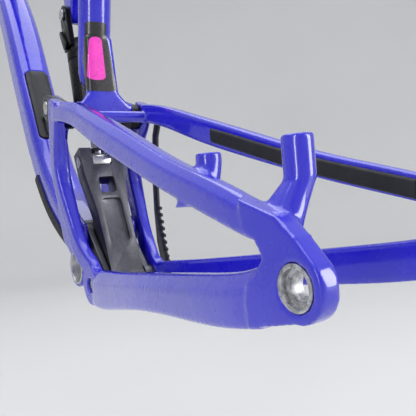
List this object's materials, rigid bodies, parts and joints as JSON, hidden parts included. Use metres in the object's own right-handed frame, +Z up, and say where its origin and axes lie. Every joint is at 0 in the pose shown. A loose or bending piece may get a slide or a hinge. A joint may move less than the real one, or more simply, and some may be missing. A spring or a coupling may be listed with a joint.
{
  "type": "bicycle frame",
  "caption": "Full-suspension bicycle frame with a one-piece rear triangle on two links, a shock with a forged yoke, brake posts and a down tube storage hatch.",
  "frame": {"origin": "centre of the bottom bracket shell", "axes": "+X forward along the bicycle, +Y to the rider's left, +Z up"},
  "size_m": [0.9465, 0.1725, 0.6627],
  "materials": {
    "frame_paint": "gloss",
    "bare_aluminium": "satin",
    "dark_anodised": "satin",
    "steel": "satin",
    "bronze": "satin",
    "rubber": "matte",
    "black_plastic": "matte"
  },
  "bodies": {
    "front_triangle": {"head_tube": "frame_paint", "top_tube": "frame_paint", "down_tube": "frame_paint", "seat_tube": "frame_paint", "left_tunnel_leg": "frame_paint", "right_tunnel_leg": "frame_paint", "bb_shell": "frame_paint", "bb_sleeve": "bare_aluminium", "shock_mount": "frame_paint", "shock_top_bolt": "steel", "lower_headset_seat": "bare_aluminium", "upper_headset_seat": "bare_aluminium", "lower_link_axle": "steel", "upper_link_bolts": "steel", "seat_clamp": "dark_anodised", "seat_clamp_bolt": "steel", "cable_ports": "rubber", "down_tube_guard": "rubber"},
    "lower_link": {"lower_link": "dark_anodised", "lower_link_bearings": "steel", "main_pivot_axle": "steel"},
    "rear_triangle": {"left_chainstay": "frame_paint", "right_chainstay": "frame_paint", "left_seatstay": "frame_paint", "right_seatstay": "frame_paint", "left_upright": "frame_paint", "right_upright": "frame_paint", "left_dropout": "frame_paint", "right_dropout": "frame_paint", "left_axle_insert": "bare_aluminium", "right_axle_insert": "bare_aluminium", "seatstay_bridge": "frame_paint", "main_pivot_bearings": "steel", "top_pivot_bearings": "steel", "rear_brake_post": "frame_paint", "front_brake_post": "frame_paint", "derailleur_hanger": "bare_aluminium", "hanger_bolt": "bare_aluminium", "seatstay_pad": "rubber", "drive_side_guard": "rubber", "guard_fixings": "steel"},
    "upper_link": {"left_upper_link": "frame_paint", "right_upper_link": "frame_paint", "upper_link_bearings": "steel", "top_pivot_bolts": "steel"},
    "shock_body": {"shock_can": "dark_anodised", "shock_seal_head": "dark_anodised", "shock_clevis": "dark_anodised", "air_valve_cap": "black_plastic"},
    "shock_yoke": {"shock_shaft": "steel", "eye_bushing": "bronze", "bump_ring": "rubber", "shock_yoke": "dark_anodised", "yoke_bolt": "steel"},
    "lockout_lever": {"lockout_lever": "black_plastic"},
    "rebound_dial": {"rebound_dial": "black_plastic"},
    "storage_hatch": {"storage_hatch": "black_plastic", "hatch_latch_pin": "steel"},
    "hatch_latch": {"hatch_latch": "black_plastic"}
  },
  "joints": [
    {"name": "suspension", "type": "hinge", "parent": "front_triangle", "child": "lower_link", "pos_m": [-0.01, 0, 0.042], "axis": [0, 1, 0], "range_deg": [0, 50], "stiffness_Nm_per_rad": 60, "springref_deg": -40.11},
    {"name": "main_pivot", "type": "hinge", "parent": "lower_link", "child": "rear_triangle", "pos_m": [-0.06, 0, -0.014], "axis": [0, 1, 0], "range_deg": [-42, 1]},
    {"name": "upper_pivot", "type": "hinge", "parent": "front_triangle", "child": "upper_link", "pos_m": [0.036, 0, 0.195], "axis": [0, 1, 0], "range_deg": [-1, 44]},
    {"name": "shock_swing", "type": "hinge", "parent": "front_triangle", "child": "shock_body", "pos_m": [0.02, 0, 0.306], "axis": [0, 1, 0], "range_deg": [-1, 8]},
    {"name": "yoke_pivot", "type": "hinge", "parent": "lower_link", "child": "shock_yoke", "pos_m": [-0.06, 0, -0.014], "axis": [0, 1, 0], "range_deg": [-43, 1]},
    {"name": "lockout_turn", "type": "hinge", "parent": "shock_body", "child": "lockout_lever", "pos_m": [0.01395, 0.021, 0.26646], "axis": [0, 1, 0], "range_deg": [0, 60]},
    {"name": "rebound_turn", "type": "hinge", "parent": "shock_yoke", "child": "rebound_dial", "pos_m": [-0.008, 0, 0.123], "axis": [0.9349, 0, -0.355], "range_deg": [-150, 150]},
    {"name": "hatch_tip", "type": "hinge", "parent": "front_triangle", "child": "storage_hatch", "pos_m": [0.22738, 0, 0.29357], "axis": [0, 1, 0], "range_deg": [0, 60]},
    {"name": "latch_lift", "type": "hinge", "parent": "storage_hatch", "child": "hatch_latch", "pos_m": [0.1839, 0, 0.21068], "axis": [0, 1, 0], "range_deg": [0, 80]}
  ],
  "couplings": [
    {"joint": "main_pivot", "follows": "suspension", "ratio": -0.8193},
    {"joint": "upper_pivot", "follows": "suspension", "ratio": 0.8602},
    {"joint": "yoke_pivot", "follows": "suspension", "ratio": -0.8502},
    {"joint": "shock_swing", "follows": "suspension", "ratio": 0.1498}
  ]
}
